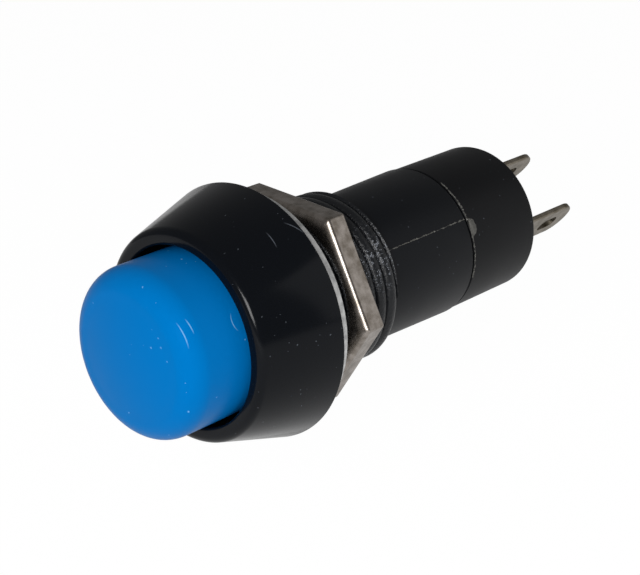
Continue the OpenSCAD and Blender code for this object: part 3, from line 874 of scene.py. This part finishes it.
def coil(name, turns, radius, wire, low_y, length):
    """A coil spring of round wire, from low_y towards the button, with a closed turn at each
    end."""
    closed = wire * COIL_CLOSE
    rise = (length - wire - 2 * closed) / (turns - 2)
    path = []
    for i in range(turns * WIRE_STEPS + 1):
        t = i / WIRE_STEPS
        open_turns = min(max(t - 1, 0), turns - 2)
        height = closed * min(t, 1) + rise * open_turns + closed * max(t - turns + 1, 0)
        a = 2 * math.pi * t
        place = (radius * math.cos(a), low_y - wire / 2 - height, radius * math.sin(a))
        path.append((place, wire / 2))
    return swept(name, path, corners=3, smooth=40)


# Bright drawn stainless wire
spring_steel = metal("stainless_spring_wire", "#B4B4B2", roughness=0.25, grain=0.05, depth=0.1,
                     tarnish="#9A9A98", blotch=0.6)

return_len = SHELF_Y - ceiling_y
return_spring = coil("return_coil", RETURN_TURNS, RETURN_R, RETURN_WIRE, SHELF_Y, return_len)
dress(return_spring, spring_steel)
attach(return_spring, "case")
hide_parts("return_spring")
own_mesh(return_spring)
contact_len = BRIDGE_Y - STOP_REAR_Y
contact_spring = coil("contact_coil", CONTACT_TURNS, CONTACT_R, CONTACT_WIRE, BRIDGE_Y, contact_len)
dress(contact_spring, spring_steel)
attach(contact_spring, "button")
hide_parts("contact_spring")
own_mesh(contact_spring)

# ---------------------------------------------------------------------------------------
# Panel washer
# A flat ring stamped from steel sheet and zinc plated. It sits loose on the thread, half sunk
# in the relief behind the bezel.

WASHER_BORE_R = 6.1
WASHER_EDGE_R = 0.1

washer_front_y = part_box("panel_washer")[0][1] / MM
washer_rear_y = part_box("panel_washer")[1][1] / MM
washer_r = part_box("panel_washer")[1][0] / MM
washer = turned("zinc_washer", (
    [(WASHER_BORE_R, washer_front_y)]
    + arc(washer_r - WASHER_EDGE_R, washer_front_y + WASHER_EDGE_R, WASHER_EDGE_R, 270, 360, 4)
    + arc(washer_r - WASHER_EDGE_R, washer_rear_y - WASHER_EDGE_R, WASHER_EDGE_R, 0, 90, 4)
    + [(WASHER_BORE_R, washer_rear_y), (WASHER_BORE_R, washer_front_y)]
))
# Zinc plate on cold-rolled steel: pale, even grey, with a fine matt grain
dress(washer, metal("zinc_plated_steel", "#E6E6E5", roughness=0.6, grain=0.08, depth=0.35,
                    tarnish="#BABABA", blotch=0.5))
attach(washer, "washer")
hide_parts("panel_washer")

# ---------------------------------------------------------------------------------------
# Hexagonal nut
# Blanked from brass strip, which rolled its front edges round, then tapped M12 x 1 and
# bright nickel plated. It runs on the bushing's thread behind the washer.

NUT_FLAT_R = 6.67
NUT_ROLL_R = 0.45
NUT_ROLL_REACH = 1.0
NUT_CORNER_R = 0.12
NUT_CORNER_DEG = 25
NUT_BORE_R = 6.06
NUT_MOUTH = 0.1
NUT_TURN = 2.0

nut_front_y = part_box("hex_nut")[0][1] / MM
nut_rear_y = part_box("hex_nut")[1][1] / MM
nut = begin("nickel_nut", bpy.ops.mesh.primitive_cylinder_add, vertices=6,
            radius=NUT_FLAT_R / math.cos(math.radians(30)) * MM,
            depth=(nut_rear_y - nut_front_y) * MM,
            location=(0, (nut_front_y + nut_rear_y) / 2 * MM, 0),
            rotation=(math.radians(90), 0, 0))
close_up()
bpy.ops.object.transform_apply(location=True, rotation=True, scale=True)
bpy.ops.object.mode_set(mode="EDIT")
pick(nut, lambda ends: all(near(p.y, nut_front_y) for p in ends), "edges")
bpy.ops.mesh.bevel(offset=NUT_ROLL_REACH * MM, offset_type="OFFSET", segments=16, affect="EDGES")
close_up()
# The roll reaches further over the face than down the flats, so it is squeezed towards the face
bpy.ops.object.mode_set(mode="EDIT")
pick(nut, lambda corners: all(p.y < nut_front_y + NUT_ROLL_REACH + NEAR for p in corners))
bpy.ops.transform.resize(value=(1, NUT_ROLL_R / NUT_ROLL_REACH, 1),
                         center_override=(0, nut_front_y * MM, 0))
bpy.ops.object.mode_set(mode="OBJECT")
round_edges(nut, NUT_CORNER_R, NUT_CORNER_DEG)
turn(nut, 30 + NUT_TURN)
mouth_r = NUT_BORE_R + NUT_MOUTH + SPARE
cut(nut, turned("bore", [
    (0, nut_front_y - SPARE), (mouth_r, nut_front_y - SPARE),
    (NUT_BORE_R, nut_front_y + NUT_MOUTH), (NUT_BORE_R, nut_rear_y - NUT_MOUTH),
    (mouth_r, nut_rear_y + SPARE), (0, nut_rear_y + SPARE)]))
bpy.ops.object.shade_smooth_by_angle(angle=math.radians(SMOOTH_DEG))
# Bright nickel plate on brass: warm, nearly a mirror, with a fine haze from barrel plating
dress(nut, metal("bright_nickel_plate", "#A79F98", roughness=0.28, grain=0.1, depth=0.12,
                 tarnish="#7C746B", blotch=0.9))
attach(nut, "nut")
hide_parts("hex_nut")

# ---------------------------------------------------------------------------------------
# Works inside
# The plunger carries the sprung contact bridge to the two fixed contacts on the lugs' feet.
# Their shapes come from the frame as they are, and only their finishes are made here.

WAX_SIZE = 1.2
WAX_GLOSS = 0.35
WAX_SMEAR = 0.2
WAX_RELIEF = 0.02
WAX_DEPTH = 0.15
GLOW_SHARE = 0.15
GLOW_REACH = 0.3

# Acetal, natural white and slightly waxy, as moulded
acetal, tree, shader, place = start_finish("natural_acetal", "#E4E0D4", WAX_GLOSS, **{
    "Subsurface Weight": GLOW_SHARE, "Subsurface Scale": GLOW_REACH * MM})
wax = add_node(tree, "ShaderNodeTexNoise", {
    "Vector": place, "Scale": 1 / (WAX_SIZE * MM), "Detail": 4})
rough = add_node(tree, "ShaderNodeMath", {0: wax.outputs[0], 1: WAX_SMEAR, 2: WAX_GLOSS},
                 operation="MULTIPLY_ADD")
tree.links.new(rough.outputs[0], shader.inputs["Roughness"])
skin = add_node(tree, "ShaderNodeBump", {
    "Height": wax.outputs[0], "Strength": WAX_DEPTH, "Distance": WAX_RELIEF * MM})
tree.links.new(skin.outputs[0], shader.inputs["Normal"])
# Rolled brass strip, stamped silver contacts and a plain steel push-on retainer
strip_brass = metal("rolled_brass_strip", "#C9A45C", roughness=0.32, grain=0.06, depth=0.2,
                    tarnish="#A8843F", blotch=0.9)
contact_silver = metal("stamped_silver_contact", "#D9D7D2", roughness=0.3, grain=0.05, depth=0.2,
                       tarnish="#B5AFA4", blotch=0.4)
retainer_steel = metal("plain_retainer_steel", "#A6A8AB", roughness=0.35, grain=0.06, depth=0.2,
                       tarnish="#8C8E91", blotch=0.7)

for node, finish in (("plunger", acetal), ("contact_bridge", strip_brass),
                     ("bridge_contact_left", contact_silver),
                     ("bridge_contact_right", contact_silver),
                     ("fixed_contact_left", contact_silver),
                     ("fixed_contact_right", contact_silver),
                     ("bridge_retainer", retainer_steel)):
    dress(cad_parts[node], finish)
